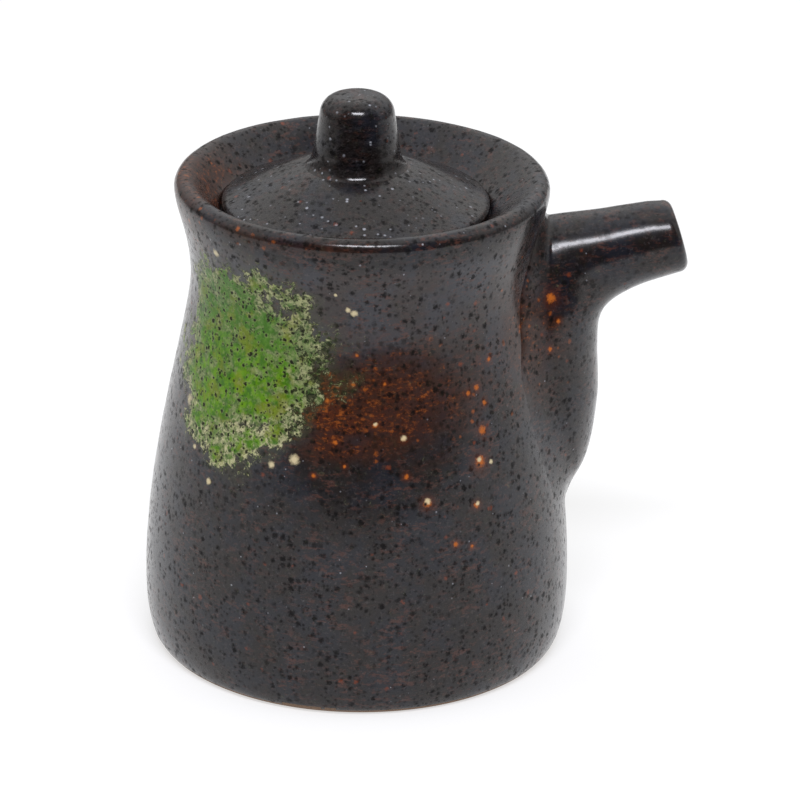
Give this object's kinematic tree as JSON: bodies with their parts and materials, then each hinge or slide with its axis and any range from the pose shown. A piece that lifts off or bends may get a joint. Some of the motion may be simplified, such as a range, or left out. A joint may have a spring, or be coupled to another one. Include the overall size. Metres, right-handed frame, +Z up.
{
  "type": "lidded sauce pot",
  "caption": "Small round stoneware pot with a short side spout and a domed lid that lifts off by a pinch knob, for pouring soy sauce or warm sake.",
  "frame": {"origin": "centre of the foot ring, in the plane that the pot stands on", "axes": "+Z up along the pot's axis and the way the lid lifts; +X out along the spout; +Y to the left when looking along +X"},
  "size_m": [0.0947, 0.075, 0.101],
  "materials": {
    "pot_glaze": "glossy iron-brown glaze over speckled stoneware, with a raised green ash-glaze patch, rust-red streaks and a bare clay foot",
    "lid_glaze": "satin iron-brown glaze with dark speckles and fine pale sparkles"
  },
  "bodies": {
    "pot": {"pot_body": "pot_glaze", "spout": "pot_glaze"},
    "lid": {"lid": "lid_glaze", "lid_knob": "lid_glaze"}
  },
  "joints": [
    {"name": "lid_lift", "type": "slide", "parent": "pot", "child": "lid", "axis": [0, 0, 1], "range_m": [0, 0.04]}
  ]
}
